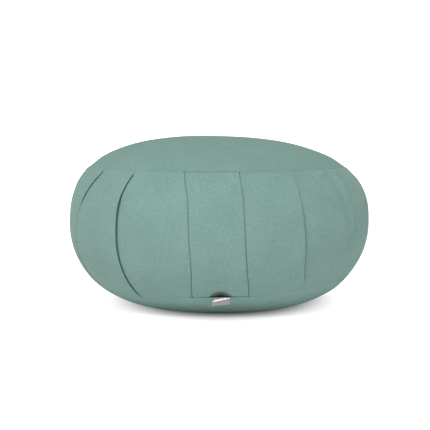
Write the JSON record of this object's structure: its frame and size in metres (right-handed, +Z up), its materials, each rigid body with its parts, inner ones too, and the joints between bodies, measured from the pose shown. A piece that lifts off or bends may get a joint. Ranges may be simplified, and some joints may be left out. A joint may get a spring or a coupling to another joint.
{
  "type": "round pleated meditation cushion",
  "caption": "Round filled floor cushion with a crowned top panel, a pleated bulging side band, a straight front panel over the closure and a small blank tab in the bottom seam.",
  "frame": {"origin": "on the floor under the centre of the cushion's outline", "axes": "+Z up, -Y towards the front panel, +X to the right as the front panel is faced"},
  "size_m": [0.3586, 0.3582, 0.2066],
  "materials": {
    "canvas_side": "matte plain-weave cotton canvas, sage green",
    "canvas_disc": "matte plain-weave cotton canvas, sage green, same cloth as the side",
    "tab": "smooth woven ribbon, pale grey, blank"
  },
  "bodies": {
    "root": {"side_band": "canvas_side", "front_panel": "canvas_side", "top_panel": "canvas_disc", "bottom_panel": "canvas_disc", "label_tab": "tab"}
  },
  "joints": []
}
